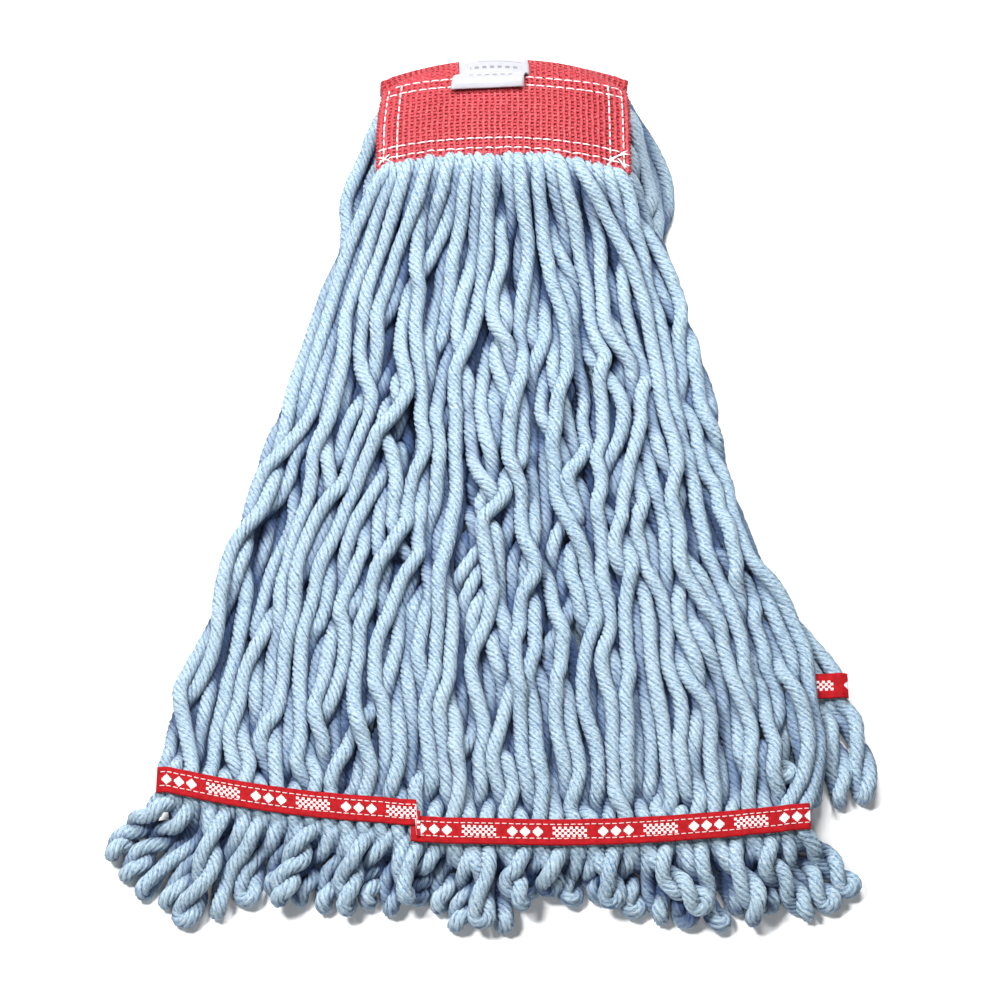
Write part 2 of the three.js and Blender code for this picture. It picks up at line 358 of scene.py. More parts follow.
def leg_chain(plan, j, legs, hem_x, layer, rng):
    """The first guess of one leg, as a chain of points held at both ends."""
    tape = plan["tape"]
    across = (j + 0.5) / legs
    tape_x = tape["left"] + (tape["right"] - tape["left"]) * across
    far = float(tape_y(plan, across))
    leg_z = plan["legs_z"][j % 2]
    guess = front_guess if plan["name"] == "front" else back_guess
    inside, free = guess(plan, hem_x, layer, tape_x, far + 2, leg_z, rng)
    free = sway(free, rng)
    under = [[tape_x, far - d, leg_z] for d in (2.5, 8, TAPE_WIDTH + 0.5)]
    points = np.concatenate([inside, free, np.array(under)])
    pinned = np.zeros(len(points), bool)
    pinned[: len(inside)] = True
    pinned[-len(under) :] = True
    return {"points": points, "pinned": pinned, "kind": "leg", "radius": LEG_RADIUS}


def loop_chain(plan, k, start, rng):
    """The first guess of the middle line of one looped end."""
    across = (2 * k + 1) / (2 * plan["loops"])
    length = float(by_share(plan["fringe"], across)) + rng.uniform(-5, 5)
    outward = (across - 0.5) * 2 * (plan["fringe_spread"] - 1) * 1.5 + rng.normal(0, 0.13)
    heading = np.array([math.sin(outward), -math.cos(outward), 0])
    points = start + np.linspace(0, length, CHAIN_NODES)[:, None] * heading
    points[:, 2] += plan["fringe_lift"] * rng.uniform(0, 1) * np.linspace(0, 1, CHAIN_NODES)
    pinned = np.zeros(CHAIN_NODES, bool)
    pinned[0] = True
    return {"points": points, "pinned": pinned, "kind": "loop", "radius": LOOP_RADIUS}


def curtain_guess(plan, rng):
    """The first guess of every leg and looped end of one curtain."""
    legs = 2 * plan["loops"]
    hem_x, layer = hem_slots(legs, rng)
    chains = [leg_chain(plan, j, legs, hem_x[j], layer[j], rng) for j in range(legs)]
    ends = [chain["points"][-1] for chain in chains]
    for k in range(plan["loops"]):
        chains.append(loop_chain(plan, k, (ends[2 * k] + ends[2 * k + 1]) / 2, rng))
    return chains


# ---- Letting the yarn settle -----------------------------------------------


def near_pairs(points, reach):
    """Index pairs of points closer than reach, found on a grid of cells."""
    cells = np.floor(points / reach).astype(np.int64)
    cells -= cells.min(0) - 1
    span = cells.max(0) + 2
    key = (cells[:, 0] * span[1] + cells[:, 1]) * span[2] + cells[:, 2]
    order = np.argsort(key, kind="stable")
    keys = key[order]
    firsts, seconds = [], []
    for dx in (-1, 0, 1):
        for dy in (-1, 0, 1):
            for dz in (-1, 0, 1):
                target = key + (dx * span[1] + dy) * span[2] + dz
                low = np.searchsorted(keys, target, "left")
                count = np.searchsorted(keys, target, "right") - low
                first = np.repeat(np.arange(len(points)), count)
                offset = np.arange(len(first)) - np.repeat(np.cumsum(count) - count, count)
                second = order[np.repeat(low, count) + offset]
                keep = first < second
                firsts.append(first[keep])
                seconds.append(second[keep])
    first, second = np.concatenate(firsts), np.concatenate(seconds)
    close = np.linalg.norm(points[first] - points[second], axis=1) < reach
    return first[close], second[close]


def push_apart(points, first, second, wanted, weight):
    """How far each point moves so that neighbours no longer lie inside each other."""
    gap = points[second] - points[first]
    distance = np.maximum(np.linalg.norm(gap, axis=1), 1e-6)
    deep = np.maximum(wanted - distance, 0)
    hit = deep > 0
    push = (gap[hit].T * (deep[hit] / distance[hit])).T
    a, b = first[hit], second[hit]
    total = weight[a] + weight[b]
    shift = np.zeros_like(points)
    for axis in range(3):
        shift[:, axis] -= np.bincount(a, push[:, axis] * weight[a] / total, len(points))
        shift[:, axis] += np.bincount(b, push[:, axis] * weight[b] / total, len(points))
    touches = np.bincount(a, minlength=len(points)) + np.bincount(b, minlength=len(points))
    return shift * (1.5 / np.maximum(touches, 1.5))[:, None]


def keep_lengths(points, link_sets, weight):
    """Moves linked points so that each link has its length again."""
    for link, length in link_sets:
        along = points[link + 1] - points[link]
        distance = np.maximum(np.linalg.norm(along, axis=1), 1e-6)
        w0, w1 = weight[link], weight[link + 1]
        share = (distance - length) / distance / np.maximum(w0 + w1, 1e-9)
        points[link] += along * (share * w0)[:, None]
        points[link + 1] -= along * (share * w1)[:, None]


def keep_between_edges(points):
    points[:, 0] = np.maximum(points[:, 0], np.interp(points[:, 1], *zip(*LEFT_EDGE)) + EDGE_MARGIN)
    points[:, 0] = np.minimum(points[:, 0], np.interp(points[:, 1], *zip(*RIGHT_EDGE)) - EDGE_MARGIN)


def settle(chains):
    """Lets every chain fall and press on the others until it lies still."""
    points = np.concatenate([c["points"] for c in chains])
    sizes = [len(c["points"]) for c in chains]
    starts = np.concatenate([[0], np.cumsum(sizes)[:-1]])
    chain = np.repeat(np.arange(len(chains)), sizes)
    place = np.concatenate([np.arange(n) for n in sizes])
    radius = np.repeat([c["radius"] for c in chains], sizes)
    is_loop = np.repeat([c["kind"] == "loop" for c in chains], sizes)
    free = ~np.concatenate([c["pinned"] for c in chains])
    weight = free.astype(float)
    pinned_at = points.copy()
    links = np.concatenate([np.arange(s, s + n - 1) for s, n in zip(starts, sizes)])
    rest = np.linalg.norm(points[links + 1] - points[links], axis=1)
    rest = np.minimum(rest, NODE_STEP * 1.02)
    # every second link at a time, so that no two of them share a point
    link_sets = [(links[place[links] % 2 == p], rest[place[links] % 2 == p]) for p in (0, 1)]
    middles = np.concatenate([np.arange(s + 1, s + n - 1) for s, n in zip(starts, sizes)])
    lowest = np.where(is_loop, 0.86, 1.0) * radius
    for step in range(SETTLE_STEPS):
        if step % NEIGHBOUR_EVERY == 0:
            first, second = near_pairs(points, 2 * radius.max() + REACH)
            same = chain[first] == chain[second]
            apart = ~same | ((np.abs(place[first] - place[second]) > 3) & ~is_loop[first])
            useful = free[first] | free[second]
            first, second = first[apart & useful], second[apart & useful]
            wanted = radius[first] + radius[second]
        points[free, 2] -= FALL if step < SETTLE_STEPS - QUIET_STEPS else 0.25 * FALL
        points += push_apart(points, first, second, wanted, weight)
        straighter = (points[middles - 1] + points[middles + 1]) / 2 - points[middles]
        points[middles] += BEND * straighter * weight[middles, None]
        for _ in range(2):
            keep_lengths(points, link_sets, weight)
        keep_between_edges(points)
        points[:, 2] = np.maximum(points[:, 2], lowest)
        points[~free] = pinned_at[~free]
    return [points[s : s + n] for s, n in zip(starts, sizes)]


# ---- Smooth paths ----------------------------------------------------------


def smooth_path(points, step):
    """Points every step millimetres on a smooth curve through the given ones."""
    chord = np.linalg.norm(np.diff(points, axis=0), axis=1)
    keep = np.concatenate([[True], chord > 0.05])
    points = points[keep]
    chord = np.linalg.norm(np.diff(points, axis=0), axis=1)
    at = np.concatenate([[0], np.cumsum(chord)])
    tangent = np.gradient(points, at, axis=0)
    count = max(int(at[-1] / step), 4)
    wanted = np.linspace(0, at[-1], count + 1)
    i = np.clip(np.searchsorted(at, wanted, "right") - 1, 0, len(chord) - 1)
    t = ((wanted - at[i]) / chord[i])[:, None]
    h = chord[i][:, None]
    p0, p1, m0, m1 = points[i], points[i + 1], tangent[i] * h, tangent[i + 1] * h
    return (
        (2 * t**3 - 3 * t**2 + 1) * p0
        + (t**3 - 2 * t**2 + t) * m0
        + (3 * t**2 - 2 * t**3) * p1
        + (t**3 - t**2) * m1
    )


def frames_along(path):
    """Tangents with two normals each, turned as little as possible from point to point."""
    tangent = np.gradient(path, axis=0)
    tangent /= np.linalg.norm(tangent, axis=1)[:, None]
    normal = np.empty_like(path)
    start = np.cross(tangent[0], (0.0, 0.0, 1.0))
    if np.linalg.norm(start) < 0.2:
        start = np.cross(tangent[0], (1.0, 0.0, 0.0))
    normal[0] = start / np.linalg.norm(start)
    for i in range(1, len(path)):
        carried = normal[i - 1] - tangent[i] * normal[i - 1].dot(tangent[i])
        normal[i] = carried / np.linalg.norm(carried)
    return tangent, normal, np.cross(tangent, normal)


def loop_path(leg_a, leg_b, chain, rng):
    """One whole yarn: down leg a, round the twisted end, and back up leg b."""
    centre = smooth_path(chain, 1.5)
    tangent, _, _ = frames_along(centre)
    across = leg_b[-1] - leg_a[-1]
    across[2] = 0
    half = np.linalg.norm(leg_b[-1] - leg_a[-1]) / 2
    at = np.arange(len(centre)) * np.linalg.norm(centre[1] - centre[0])
    half_turns = rng.choice([0.5, 1.0, 1.5, 1.5, 2.0, 2.5])
    turn = (np.pi * half_turns + rng.normal(0, 0.3)) * (at / at[-1]) ** 1.2
    pair_radius = 0.46 * YARN_DIAMETER
    radius = half + (pair_radius - half) * np.clip(at / 10, 0, 1)
    side = across - tangent * (tangent @ across)[:, None]
    side /= np.linalg.norm(side, axis=1)[:, None]
    up = np.cross(side, tangent)
    up *= np.where(up[:, 2:] < 0, -1.0, 1.0)
    reach = np.cos(turn)[:, None] * side + 0.85 * np.sin(turn)[:, None] * up
    offset = reach * radius[:, None]
    tip = []
    for swing in (0.25 * math.pi, 0.5 * math.pi, 0.75 * math.pi):
        end = centre[-1] + 0.9 * radius[-1] * math.sin(swing) * tangent[-1]
        tip.append(end - math.cos(swing) * offset[-1])
    down = centre - offset
    back = centre + offset
    return np.concatenate([leg_a[:-1], down, np.array(tip), back[::-1], leg_b[:-1][::-1]])


# ---- Meshes ----------------------------------------------------------------


def add_object(name, mesh, material):
    if material:
        mesh.materials.append(material)
    obj = bpy.data.objects.new(name, mesh)
    bpy.context.collection.objects.link(obj)
    return obj


def new_mesh(name, points, faces, material=None):
    """A smooth mesh object from points in millimetres."""
    mesh = bpy.data.meshes.new(name)
    mesh.from_pydata((np.asarray(points) * MM).tolist(), [], [list(f) for f in faces])
    mesh.polygons.foreach_set("use_smooth", [True] * len(mesh.polygons))
    mesh.update()
    return add_object(name, mesh, material)


def mesh_points(obj):
    """A mesh's points, in millimetres."""
    points = np.empty(3 * len(obj.data.vertices))
    obj.data.vertices.foreach_get("co", points)
    return points.reshape(-1, 3) / MM


def join(first, *others):
    """Joins meshes into the first."""
    with bpy.context.temp_override(active_object=first, selected_editable_objects=[first, *others]):
        bpy.ops.object.join()
    return first


def mark_points(mesh, name, values):
    attribute = mesh.attributes.new(name, "FLOAT", "POINT")
    attribute.data.foreach_set("value", values.astype(np.float32))


def grid_faces(rows, columns):
    grid = np.arange(rows * columns).reshape(rows, columns)
    corners = [grid[:-1, :-1], grid[:-1, 1:], grid[1:, 1:], grid[1:, :-1]]
    return np.stack(corners, -1).reshape(-1, 4).tolist()


def solid_faces(rows, columns):
    """The faces of a closed sheet whose two sides are grids of points, one after the other."""
    faces = grid_faces(rows, columns)
    shift = rows * columns
    faces += [[i + shift for i in reversed(face)] for face in faces]
    grid = np.arange(shift).reshape(rows, columns)
    rim = np.concatenate([grid[0], grid[1:, -1], grid[-1, -2::-1], grid[-2:0:-1, 0]])
    ends = zip(rim.tolist(), np.roll(rim, -1).tolist())
    return faces + [[b, a, a + shift, b + shift] for a, b in ends]


def unit(vectors):
    return vectors / np.linalg.norm(vectors, axis=-1, keepdims=True)


def tubes(name, centres, up, width, height, material, sides=6):
    """Closed oval tubes along lines of centres, as one mesh."""
    along = unit(np.gradient(centres, axis=1))
    across = unit(np.cross(along, up))
    up = unit(np.cross(across, along))
    angle = 2 * np.pi * np.arange(sides) / sides
    wide = (np.cos(angle) * width / 2)[:, None]
    tall = (np.sin(angle) * height / 2)[:, None]
    points = centres[..., None, :] + wide * across[..., None, :] + tall * up[..., None, :]
    lines, rings = centres.shape[:2]
    grid = np.arange(lines * rings * sides).reshape(lines, rings, sides)
    nxt = np.roll(grid, -1, 2)
    quads = np.stack([grid[:, :-1], nxt[:, :-1], nxt[:, 1:], grid[:, 1:]], -1).reshape(-1, 4)
    caps = [ring.tolist() for line in grid for ring in (line[0][::-1], line[-1])]
    return new_mesh(name, points.reshape(-1, 3), [*quads.tolist(), *caps], material)


def yarn_rings(path, rng, diameter):
    """Rings of points around a path whose corners follow the twist of the plies."""
    tangent, normal, side = frames_along(path)
    count = len(path)
    at = np.arange(count) * np.linalg.norm(path[1] - path[0])
    twist = -2 * np.pi * at / YARN_PITCH + rng.uniform(0, 6.28)
    corners = [(ply, share, height) for ply in range(PLIES) for share, height in PLY_SHAPE]
    angles = np.array([2 * np.pi * (ply + share) / PLIES for ply, share, _ in corners])
    radii = np.array([1 - PLY_DEPTHS[ply] * (1 - height) for ply, _, height in corners])
    stations = np.arange(0, at[-1] + 2 * SLUB_SPACING, SLUB_SPACING)
    thickness = 1 + rng.normal(0, 0.035, int(at[-1] / SLUB_SPACING) + 3)
    slub = np.interp(at, stations, thickness[: len(stations)])
    lumps = rng.normal(0, 0.03, (count // 3 + 2, PLIES))
    lump_at = np.arange(count) / 3
    rows = np.stack([np.interp(lump_at, np.arange(len(lumps)), column) for column in lumps.T], 1)
    radius = 0.5 * diameter * slub[:, None] * (radii[None] + np.repeat(rows, len(PLY_SHAPE), 1))
    radius = radius + rng.normal(0, 0.13, radius.shape)
    turned = angles[None] + twist[:, None]
    around = np.cos(turned)[..., None] * normal[:, None] + np.sin(turned)[..., None] * side[:, None]
    return path[:, None] + radius[..., None] * around, np.tile(radii, (count, 1)), at


def yarn_uv(mesh, at, sides, offset):
    """Texture space around and along the yarn."""
    u0, v0 = np.meshgrid(np.arange(sides) / sides, at / UV_LENGTH + offset)
    corner_u = np.stack([u0[:-1], u0[:-1] + 1 / sides, u0[1:] + 1 / sides, u0[1:]], -1)
    corner_v = np.stack([v0[:-1], v0[:-1], v0[1:], v0[1:]], -1)
    corners = np.stack([corner_u, corner_v], -1).reshape(-1, 2)
    caps = np.zeros((2 * sides, 2))
    uv = mesh.uv_layers.new(name="yarn")
    uv.data.foreach_set("uv", np.concatenate([corners, caps]).reshape(-1).astype(np.float32))


def yarn_mesh(name, path, rng, material, diameter=YARN_DIAMETER):
    rings, crest, at = yarn_rings(path, rng, diameter)
    rings[..., 2] = np.maximum(rings[..., 2], FLOOR_GAP)  # the plies flatten on the floor
    count, sides = rings.shape[:2]
    points = rings.reshape(-1, 3)
    grid = np.arange(count * sides).reshape(count, sides)
    nxt = np.roll(grid, -1, 1)
    quads = np.stack([grid[:-1], nxt[:-1], nxt[1:], grid[1:]], -1).reshape(-1, 4)
    corners = np.concatenate([quads.reshape(-1), grid[0][::-1], grid[-1]])
    face_starts = np.concatenate([np.arange(len(quads)) * 4, [4 * len(quads), 4 * len(quads) + sides]])
    mesh = bpy.data.meshes.new(name)
    mesh.vertices.add(len(points))
    mesh.vertices.foreach_set("co", (points * MM).reshape(-1))
    mesh.loops.add(len(corners))
    mesh.loops.foreach_set("vertex_index", corners.astype(np.int32))
    mesh.polygons.add(len(face_starts))
    mesh.polygons.foreach_set("loop_start", face_starts.astype(np.int32))
    mesh.polygons.foreach_set("use_smooth", np.ones(len(face_starts), bool))
    mesh.update(calc_edges=True)
    yarn_uv(mesh, at, sides, rng.uniform(0, 50))
    # how far into the grooves between the plies each point lies; the yarn's colour takes painted shade
    # from it
    mark_points(mesh, "groove", ((1 - crest) / 0.2).reshape(-1))
    mark_points(mesh, "tone", np.full(len(points), rng.uniform(0, 1)))
    mesh.validate()
    return add_object(name, mesh, material)


# ---- Materials -------------------------------------------------------------


def linear(color):
    """A colour given as a screen shows it, 0 to 255, as the shader needs it."""
    return tuple(v / 255 / 12.92 if v <= 10 else ((v / 255 + 0.055) / 1.055) ** 2.4 for v in color)


class Paint:
    """The shader nodes of one material, with short ways to add and join them."""

    def __init__(self, name, color, roughness):
        self.material = bpy.data.materials.new(name)
        self.material.use_nodes = True
        self.tree = self.material.node_tree
        self.surface = self.tree.nodes["Principled BSDF"]
        self.give(self.surface, "Base Color", color)
        self.give(self.surface, "Roughness", roughness)

    def give(self, node, socket, value):
        """Sets a node's input to a number or a screen colour, or links an output to it."""
        entry = node.inputs[socket]
        if isinstance(value, bpy.types.NodeSocket):
            self.tree.links.new(value, entry)
        elif entry.type == "RGBA":
            entry.default_value = (*linear(value), 1)
        else:
            entry.default_value = value

    def add(self, kind, inputs=None, **settings):
        made = self.tree.nodes.new(kind)
        for name, value in settings.items():
            setattr(made, name, value)
        for socket, value in (inputs or {}).items():
            self.give(made, socket, value)
        return made

    def math(self, operation, first, second):
        return self.add("ShaderNodeMath", {0: first, 1: second}, operation=operation).outputs[0]

    def times(self, first, second):
        return self.math("MULTIPLY", first, second)

    def between(self, value, low, high):
        """1 where a value lies between two bounds, otherwise 0."""
        return self.times(self.math("GREATER_THAN", value, low), self.math("LESS_THAN", value, high))

    def mix(self, factor, low, high):
        mixed = self.add("ShaderNodeMix", data_type="RGBA")
        for socket, value in ((0, factor), (6, low), (7, high)):
            self.give(mixed, socket, value)
        return mixed.outputs[2]

    def ramp(self, value, low, high):
        """A number that goes from 0 at low to 1 at high."""
        ends = {"Value": value, "From Min": low, "From Max": high}
        return self.add("ShaderNodeMapRange", ends).outputs["Result"]

    def attribute(self, name):
        return self.add("ShaderNodeAttribute", attribute_name=name).outputs["Fac"]

    def uv(self, name):
        return self.add("ShaderNodeUVMap", uv_map=name).outputs[0]

    def stretched(self, vector, scale):
        mapping = {"Scale": (*scale, 1), "Vector": vector}
        return self.add("ShaderNodeMapping", mapping).outputs[0]

    def noise(self, scale, detail, vector=None, roughness=0.5):
        """Noise over the piece's own space, or over another vector."""
        if vector is None:
            vector = self.add("ShaderNodeTexCoord").outputs["Object"]
        inputs = {"Vector": vector, "Scale": scale, "Detail": detail, "Roughness": roughness}
        return self.add("ShaderNodeTexNoise", inputs).outputs["Fac"]

    def bump(self, height, strength, distance):
        inputs = {"Strength": strength, "Distance": distance, "Height": height}
        self.give(self.surface, "Normal", self.add("ShaderNodeBump", inputs).outputs[0])


def fleck_masks(paint, uv):
    """Two sparse masks of short fibres: pale ones and a few bright blue ones."""
    inputs = {"Vector": paint.stretched(uv, (22, 9)), "Scale": 1.0}
    spots = paint.add("ShaderNodeTexVoronoi", inputs)
    pick = paint.add("ShaderNodeSeparateColor", {0: spots.outputs["Color"]})
    near = paint.ramp(spots.outputs["Distance"], 0.42, 0.12)
    pale = paint.times(paint.ramp(pick.outputs[0], 0.90, 0.95), near)
    blue = paint.times(paint.ramp(pick.outputs[1], 0.985, 0.995), near)
    return pale, blue


def yarn_material():
    """Heathered cotton: pale and mid blue fibres, with painted shade between the plies and deep in the
    pile.
    """
    paint = Paint("yarn", YARN_MID, 0.95)
    paint.give(paint.surface, "Sheen Weight", 0.05)
    paint.give(paint.surface, "Sheen Roughness", 0.6)
    paint.give(paint.surface, "Specular IOR Level", 0.05)
    uv = paint.uv("yarn")
    tufts = paint.noise(1.0, 4.0, paint.stretched(uv, (20, 14)), 0.65)
    fibres = paint.noise(1.0, 3.0, paint.stretched(uv, (58, 30)), 0.65)
    strands = paint.noise(1.0, 4.0, paint.stretched(uv, (34, 5)), 0.65)
    heather = paint.mix(paint.ramp(tufts, 0.36, 0.62), YARN_MID, YARN_PALE)
    speckle = paint.times(paint.ramp(fibres, 0.46, 0.66), 0.55)
    heather = paint.mix(speckle, heather, YARN_PALE)
    dyed = paint.times(paint.ramp(strands, 0.52, 0.74), 0.75)
    heather = paint.mix(dyed, heather, YARN_BLUE)
    heather = paint.mix(paint.times(paint.attribute("tone"), 0.3), heather, YARN_PALE)
    pale, blue = fleck_masks(paint, uv)
    heather = paint.mix(pale, heather, YARN_FLECK)
    heather = paint.mix(blue, heather, YARN_BRIGHT)
    # painted shade: the grooves between the plies darkened, broken up by the tufts
    groove_shade = paint.times(paint.attribute("groove"), paint.ramp(tufts, 0.68, 0.36))
    heather = paint.mix(paint.times(groove_shade, 0.85), heather, YARN_SHADE)
    # painted shade: yarn deep in the pile, where little light reaches, darkened towards the shade blue
    heather = paint.mix(paint.times(paint.attribute("pile_shade"), 0.85), heather, YARN_SHADE)
    paint.give(paint.surface, "Base Color", heather)
    paint.bump(paint.math("ADD", fibres, tufts), 0.9, 0.0009)
    return paint.material


def net_material():
    paint = Paint("net", (229, 80, 90), 0.6)
    broad, fine = paint.noise(60.0, 3.0), paint.noise(900.0, 2.0)
    tone = paint.mix(paint.ramp(broad, 0.3, 0.7), NET_DARK, NET_MID)
    tone = paint.mix(paint.ramp(fine, 0.45, 0.75), tone, NET_PALE)
    paint.give(paint.surface, "Base Color", tone)
    paint.give(paint.surface, "Specular IOR Level", 0.35)
    return paint.material


def backing_material():
    paint = Paint("backing", (170, 40, 52), 0.9)
    tone = paint.mix(paint.ramp(paint.noise(45.0, 4.0), 0.35, 0.7), *BACKING_COLORS)
    paint.give(paint.surface, "Base Color", tone)
    return paint.material


def thread_material():
    paint = Paint("thread", (236, 234, 232), 0.7)
    paint.give(paint.surface, "Base Color", paint.mix(paint.noise(700.0, 2.0), *THREAD_COLORS))
    return paint.material


def label_material():
    """White satin with plain grey bars where a care label has its print."""
    paint = Paint("label", (240, 240, 242), 0.35)
    uv = paint.uv("leaf")
    part = paint.add("ShaderNodeSeparateXYZ", {0: uv})
    u, v = part.outputs[0], part.outputs[1]
    line = paint.times(paint.between(v, 0.62, 0.66), paint.between(u, 0.28, 0.9))
    block = paint.times(paint.between(v, 0.24, 0.36), paint.between(u, 0.16, 0.84))
    dash = paint.math("LESS_THAN", paint.math("FRACT", paint.times(u, 9.0), 0.0), 0.55)
    bars = paint.math("MAXIMUM", line, paint.times(block, dash))
    cloth = paint.mix(paint.noise(14.0, 2.0, uv), *LABEL_COLORS)
    tone = paint.mix(paint.times(bars, 0.65), cloth, LABEL_PRINT)
    paint.give(paint.surface, "Base Color", tone)
    return paint.material


def tape_material():
    paint = Paint("tape", (205, 20, 35), 0.75)
    noise = paint.noise(420.0, 3.0)
    red = paint.mix(paint.ramp(noise, 0.35, 0.7), *TAPE_REDS)
    white = paint.mix(noise, *TAPE_WHITES)
    paint.give(paint.surface, "Base Color", paint.mix(paint.attribute("motif"), red, white))
    paint.give(paint.surface, "Specular IOR Level", 0.15)
    paint.bump(noise, 0.5, 0.0003)
    return paint.material


# ---- The yarn pieces -------------------------------------------------------


def pile_surface(cell, heights, side):
    """The smoothed height of a pile's upper side (1) or lower side (-1), cell by cell."""
    size = cell.max(0) + PILE_REACH + 1
    outer = np.full(size, -np.inf)
    np.maximum.at(outer, (cell[:, 0], cell[:, 1]), side * heights)
    filled = np.isfinite(outer)
    outer[~filled] = 0
    reach = range(-PILE_REACH, PILE_REACH + 1)
    shifts = [(i, j) for i in reach for j in reach]
    total = sum(np.roll(outer, shift, (0, 1)) for shift in shifts)
    count = sum(np.roll(filled.astype(int), shift, (0, 1)) for shift in shifts)
    return side * total / np.maximum(count, 1)


def mark_pile_shade(yarns):
    """Marks how deep each point lies in its curtain, from whichever side is nearer, as painted shade
    for the yarn's colour.
    """
    points = np.concatenate([mesh_points(yarn) for yarn in yarns])
    cell = np.floor((points[:, :2] - points[:, :2].min(0)) / PILE_CELL).astype(int) + PILE_REACH
    place = (cell[:, 0], cell[:, 1])
    below_top = pile_surface(cell, points[:, 2], 1)[place] - points[:, 2]
    above_bottom = points[:, 2] - pile_surface(cell, points[:, 2], -1)[place]
    pile_shade = np.clip(np.minimum(below_top, above_bottom) / PILE_SHADE_DEPTH, 0, 1)
    start = 0
    for yarn in yarns:
        count = len(yarn.data.vertices)
        mark_points(yarn.data, "pile_shade", pile_shade[start : start + count])
        start += count


def make_curtain(plan, chains, material, rng):
    """One curtain's yarns as meshes, with the CAD's yarn groups hidden and painted shade marked deep
    in the pile.
    """
    side, loops = plan["name"], plan["loops"]
    yarns = []
    for k in range(loops):
        whole = loop_path(chains[2 * k], chains[2 * k + 1], chains[2 * loops + k], rng)
        path = smooth_path(whole, STRAND_STEP)
        yarn = yarn_mesh(f"{side}_yarn_{k + 1:02d}", path, rng, material)
        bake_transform(yarn)
        yarns.append(yarn)
    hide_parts(*[f"{side}_{part}_{i}" for part in ("yarns", "loops") for i in CAD_GROUPS])
    mark_pile_shade(yarns)
    return yarns


def make_yarns(material):
    rng = np.random.default_rng(SEED)
    guesses = curtain_guess(FRONT, rng) + curtain_guess(BACK, rng)
    settled = settle(guesses)
    back_starts = 3 * FRONT["loops"]  # a curtain has two legs and one looped end to each yarn
    front = make_curtain(FRONT, settled[:back_starts], material, rng)
    back = make_curtain(BACK, settled[back_starts:], material, rng)
    return front, back


# ---- The headband ----------------------------------------------------------


def band_profile():
    """The band's outer line seen from the side: run, y, z and the two parts of the normal."""
    angle = np.linspace(0, math.pi / 2, 60)
    y = np.concatenate([[BAND_FRONT_Y - 2], FOLD_Y + FOLD_DEPTH * np.sin(angle), [BAND_BACK_Y]])
    z = np.concatenate([[BAND_TOP], FOLD_Z + FOLD_HEIGHT * np.cos(angle), [BAND_BACK_Z - 2]])
    out_y = np.concatenate([[0], np.sin(angle) / FOLD_DEPTH, [1]])
    out_z = np.concatenate([[1], np.cos(angle) / FOLD_HEIGHT, [0]])
    size = np.hypot(out_y, out_z)
    run = np.concatenate([[0], np.cumsum(np.hypot(np.diff(y), np.diff(z)))]) - 2
    return run, y, z, out_y / size, out_z / size


PROFILE = band_profile()
BAND_LENGTH = PROFILE[0][-1] - 2


def band_point(u, v, depth):
    """Points u across from the band's middle, v along from its front hem, depth under its face."""
    u, v, depth = np.broadcast_arrays(*(np.asarray(a, float) for a in (u, v, depth)))
    run, ys, zs, out_ys, out_zs = PROFILE
    y, z = np.interp(v, run, ys), np.interp(v, run, zs)
    out_y, out_z = np.interp(v, run, out_ys), np.interp(v, run, out_zs)
    side = np.abs(u / BAND_HALF)
    upright = np.clip((v - 70) / (BAND_LENGTH - 70), 0, 1)
    over = swell(v, BEND_TOP, 25)
    drop = (1 - over) * CROWN * side**2.6 * (1 - 0.75 * upright)
    drop = drop + over * (2.2 + 12.5 * side**1.7 + 6.5 * side**8)
    hem = np.exp(-np.minimum(v, BAND_LENGTH - v).clip(0) / 7)
    pucker = hem * (0.55 * np.sin(u * 0.62 + 1) + 0.35 * np.sin(u * 0.29))
    pucker = pucker + 0.25 * np.sin(u * 0.11 + v * 0.13)
    inward = depth + drop - pucker
    bow = np.where(u < 0, 5.5 - 3.5 * side**2, 5.5 - 7.0 * side**2)
    skew = bow * np.clip(1 - v / 60, 0, 1)
    narrow = 1 - 0.035 * np.clip(1 - np.abs(v - 72) / 45, 0, 1) * (u < 0)
    narrow -= 0.035 * side**4 * swell(v, 72, 16)
    x = BAND_MIDDLE + u * narrow
    return np.stack([x, y - inward * out_y + skew, z - inward * out_z], -1)


def band_normal(u, v):
    return unit(band_point(u, v, -1.0) - band_point(u, v, 0.0))


def face_depth(u):
    return 0 * u


def backing_depth(u):
    return 0 * u + BACKING_DEPTH


def lining_depth(u):
    """The lining comes up towards the face at the two sides."""
    edge = np.clip((np.abs(u) - BAND_HALF + 13) / 11, 0, 1)
    return LINING_DEPTH - 9.0 * edge**2 * (3 - 2 * edge)


def lining_backing_depth(u):
    return lining_depth(u) - 0.6


def band_net(name, depth, step, material):
    """The woven net: threads along the band over and under threads across it."""
    columns = int(2 * BAND_HALF / NET_COLUMN_PITCH)
    rows = int(BAND_LENGTH / NET_ROW_PITCH)
    u = (np.arange(columns) - (columns - 1) / 2) * NET_COLUMN_PITCH
    v = (np.arange(rows) + 0.5) * NET_ROW_PITCH
    along = np.arange(-1, BAND_LENGTH + 1, step)
    turn = np.pi * (along / NET_ROW_PITCH - 0.5)
    wave = 0.22 * np.cos(turn[None] + np.pi * np.arange(columns)[:, None])
    column_u = u[:, None] + 0.18 * np.sin(along / 1.9)[None]
    centres = band_point(column_u, along[None], depth(u)[:, None] + wave + 0.25)
    up = band_normal(u[:, None], along[None])
    longways = tubes(name, centres, up, *NET_COLUMN, material)
    row_step = step * NET_COLUMN_PITCH / NET_ROW_PITCH
    across = np.arange(-BAND_HALF, BAND_HALF + step / 2, row_step)
    wave = -0.28 * np.cos(np.pi * across / NET_COLUMN_PITCH)[None]
    wave = wave * (-1.0) ** np.arange(rows)[:, None]
    centres = band_point(across[None], v[:, None], depth(across)[None] + wave + 0.32)
    up = band_normal(across[None], v[:, None])
    crossways = tubes(name + "_across", centres, up, *NET_ROW, material)
    return join(longways, crossways)


